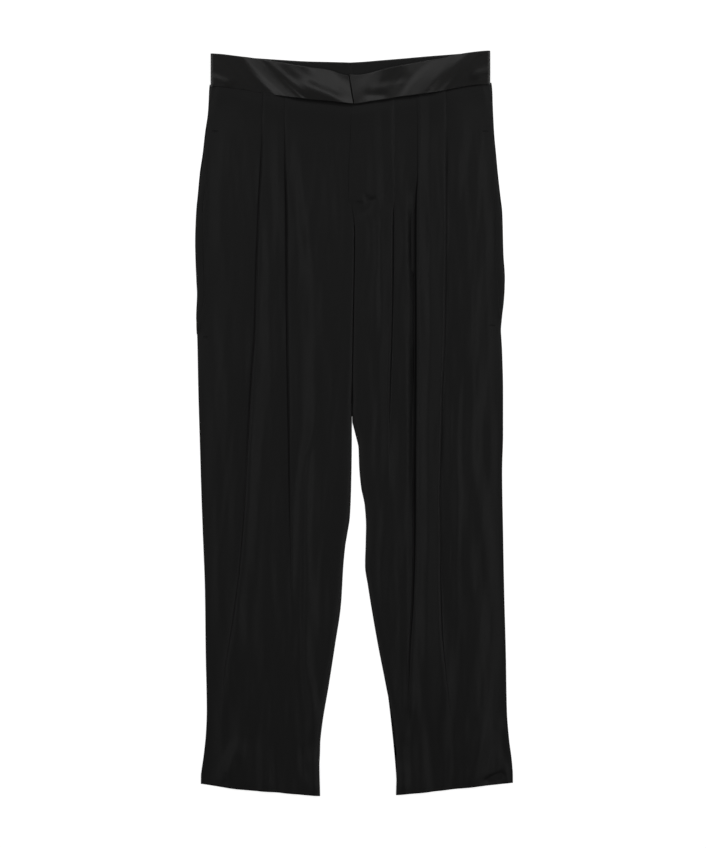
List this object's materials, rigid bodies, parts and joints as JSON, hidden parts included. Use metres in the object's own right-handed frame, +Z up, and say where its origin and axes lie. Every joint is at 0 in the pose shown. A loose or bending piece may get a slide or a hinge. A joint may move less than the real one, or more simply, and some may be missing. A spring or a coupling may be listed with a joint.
{
  "type": "pleated trousers",
  "caption": "Full-length high-waisted black trousers with a satin waistband, a concealed fly, soft front pleats, side-seam pockets and tapered legs, laid flat front side up.",
  "frame": {"origin": "on the surface the trousers lie on, under the middle of their outline", "axes": "+Z up out of the front of the trousers, +Y along their length towards the waist, +X towards the wearer's left leg"},
  "size_m": [0.4328, 1.0128, 0.009],
  "materials": {
    "black_crepe": "matte, with a faint sheen",
    "black_satin": "satin",
    "black_zip_tape": "matte"
  },
  "bodies": {
    "root": {"front_right": "black_crepe", "front_left": "black_crepe", "back_right": "black_crepe", "back_left": "black_crepe", "pocket_bag_right": "black_crepe", "pocket_bag_left": "black_crepe", "fly_shield": "black_crepe", "fly_zip": "black_zip_tape", "waistband_front_right": "black_satin", "waistband_front_left": "black_satin", "waistband_back_right": "black_satin", "waistband_back_left": "black_satin", "waistband_facing_right": "black_crepe", "waistband_facing_left": "black_crepe"}
  },
  "joints": []
}
